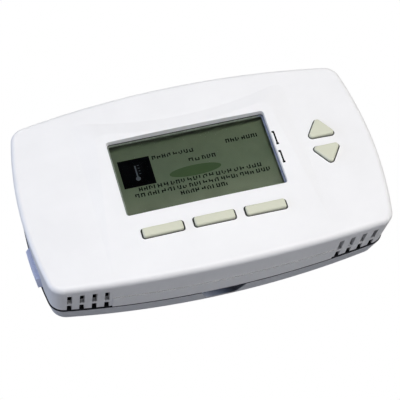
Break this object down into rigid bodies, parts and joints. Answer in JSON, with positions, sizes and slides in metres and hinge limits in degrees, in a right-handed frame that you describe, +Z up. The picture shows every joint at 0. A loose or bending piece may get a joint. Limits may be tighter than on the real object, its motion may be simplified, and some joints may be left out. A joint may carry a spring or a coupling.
{
  "type": "wall thermostat",
  "caption": "Wall thermostat with a large recessed display, bar keys and arrow keys, a battery drawer, and a head that pulls off a screwed wall base.",
  "frame": {"origin": "centre of the base's back face, on the wall plane", "axes": "+X to the right seen from the front, +Z up, +Y into the wall"},
  "size_m": [0.1477, 0.0394, 0.0916],
  "materials": {
    "case_white": "fine satin moulding",
    "rear_dark": "plain dark moulding",
    "key_cream": "soft satin",
    "lens_clear": "clear gloss",
    "display_grey_green": "dark reflective display",
    "frame_black": "matt black",
    "guide_milky": "milky",
    "lamp_yellow": "clear yellow",
    "strip_rubber": "soft silicone",
    "board_green": "solder mask",
    "chip_black": "matt",
    "relay_dark": "semi-gloss",
    "capacitor_sleeve": "shrink sleeve",
    "crystal_can": "bright",
    "bead_black": "dipped",
    "header_black": "glass-filled",
    "pin_gold": "plated",
    "switch_black": "matt",
    "plunger_black": "matt",
    "screw_steel": "zinc plated",
    "clip_steel": "nickel plated",
    "block_grey": "semi-gloss",
    "clamp_brass": "bright",
    "drawer_blue_grey": "satin moulding",
    "cell_sleeve": "printed sleeve"
  },
  "bodies": {
    "base": {"wallplate": "case_white", "terminal_block_left": "block_grey", "terminal_block_right": "block_grey", "terminal_clamps": "clamp_brass", "terminal_screws": "screw_steel"},
    "head": {"front_cover": "case_white", "rear_cover": "rear_dark", "battery_clips": "clip_steel", "display_lens": "lens_clear", "display_gasket": "frame_black", "display_glass": "display_grey_green", "display_frame": "frame_black", "light_guide": "guide_milky", "backlight_lamps": "lamp_yellow", "contact_strips": "strip_rubber", "main_board": "board_green", "relays": "relay_dark", "capacitors": "capacitor_sleeve", "controller_chip": "chip_black", "memory_chip": "chip_black", "clock_crystal": "crystal_can", "thermistor": "bead_black", "header_left": "header_black", "header_right": "header_black", "header_pins": "pin_gold", "key_switches": "switch_black", "case_screws": "screw_steel", "board_screws": "screw_steel"},
    "battery_drawer": {"battery_tray": "drawer_blue_grey", "battery_upper": "cell_sleeve", "battery_lower": "cell_sleeve", "battery_link": "clip_steel"},
    "key_left_body": {"key_left": "key_cream", "plunger_left": "plunger_black"},
    "key_middle_body": {"key_middle": "key_cream", "plunger_middle": "plunger_black"},
    "key_right_body": {"key_right": "key_cream", "plunger_right": "plunger_black"},
    "key_up_body": {"key_up": "key_cream", "plunger_up": "plunger_black"},
    "key_down_body": {"key_down": "key_cream", "plunger_down": "plunger_black"}
  },
  "joints": [
    {"name": "head_pull", "type": "slide", "parent": "base", "child": "head", "axis": [0, -1, 0], "range_m": [0, 0.04]},
    {"name": "drawer_slide", "type": "slide", "parent": "head", "child": "battery_drawer", "axis": [-1, 0, 0], "range_m": [0, 0.05]},
    {"name": "key_left_press", "type": "slide", "parent": "head", "child": "key_left_body", "axis": [0, 1, 0], "range_m": [0, 0.0008], "stiffness_N_per_m": 1500, "springref_m": -0.0004},
    {"name": "key_middle_press", "type": "slide", "parent": "head", "child": "key_middle_body", "axis": [0, 1, 0], "range_m": [0, 0.0008], "stiffness_N_per_m": 1500, "springref_m": -0.0004},
    {"name": "key_right_press", "type": "slide", "parent": "head", "child": "key_right_body", "axis": [0, 1, 0], "range_m": [0, 0.0008], "stiffness_N_per_m": 1500, "springref_m": -0.0004},
    {"name": "key_up_press", "type": "slide", "parent": "head", "child": "key_up_body", "axis": [0, 1, 0], "range_m": [0, 0.0008], "stiffness_N_per_m": 1500, "springref_m": -0.0004},
    {"name": "key_down_press", "type": "slide", "parent": "head", "child": "key_down_body", "axis": [0, 1, 0], "range_m": [0, 0.0008], "stiffness_N_per_m": 1500, "springref_m": -0.0004}
  ]
}
